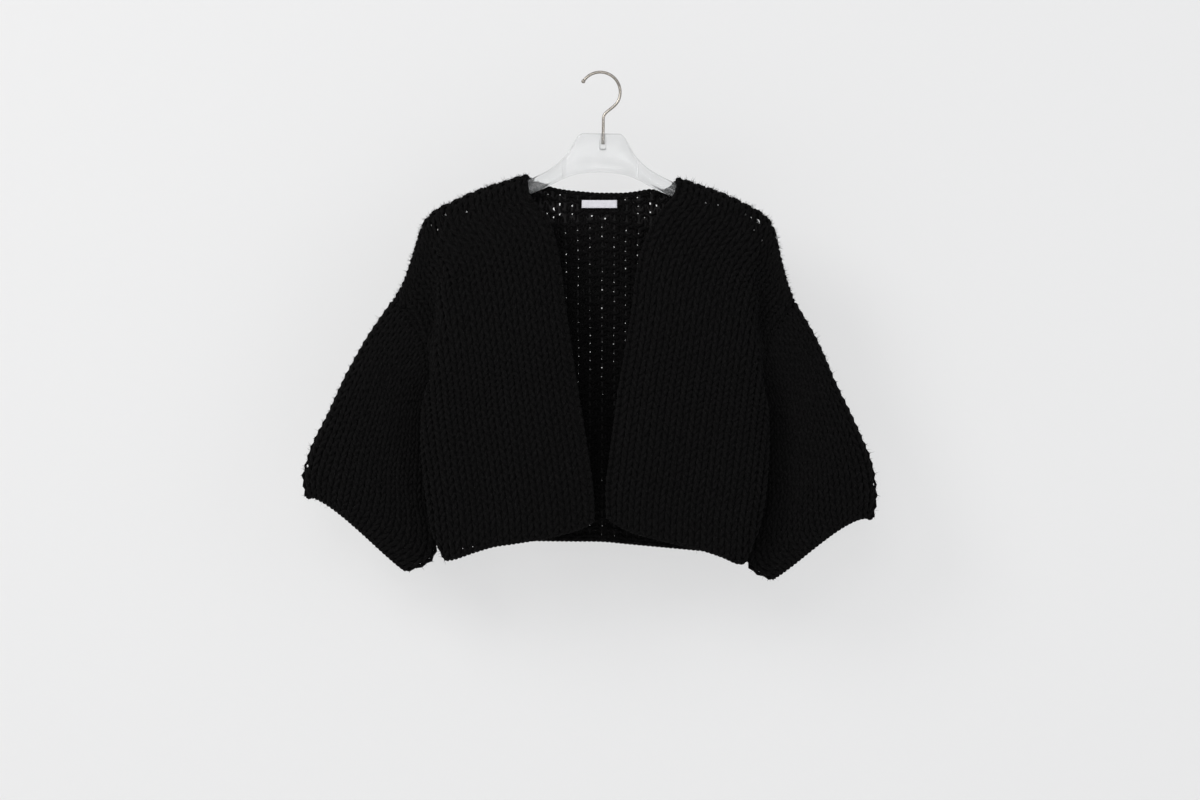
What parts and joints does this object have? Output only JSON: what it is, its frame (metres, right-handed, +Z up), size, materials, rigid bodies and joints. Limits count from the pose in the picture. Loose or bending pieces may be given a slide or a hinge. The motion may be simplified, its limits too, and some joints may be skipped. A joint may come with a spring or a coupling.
{
  "type": "short-sleeve cardigan on a clear plastic hanger",
  "caption": "Open-front cropped cardigan in chunky black stockinette, with drop shoulders and elbow-length balloon sleeves, hanging on a clear plastic hanger with a wire hook.",
  "frame": {"origin": "underside of the hook's bend, where a nail or rail carries the hanger", "axes": "+Z up, +X to the right of someone who faces the garment, +Y behind it"},
  "size_m": [0.7412, 0.081, 0.6623],
  "materials": {
    "black_knit": "brushed wool-blend yarn, matt",
    "white_label": "blank woven satin ribbon",
    "clear_plastic": "moulded, clear and glossy",
    "nickel_wire": "satin nickel plate"
  },
  "bodies": {
    "root": {"back": "black_knit", "front_left": "black_knit", "front_right": "black_knit", "sleeve_left": "black_knit", "sleeve_right": "black_knit", "neck_label": "white_label", "hanger_body": "clear_plastic", "hanger_hook": "nickel_wire"}
  },
  "joints": []
}
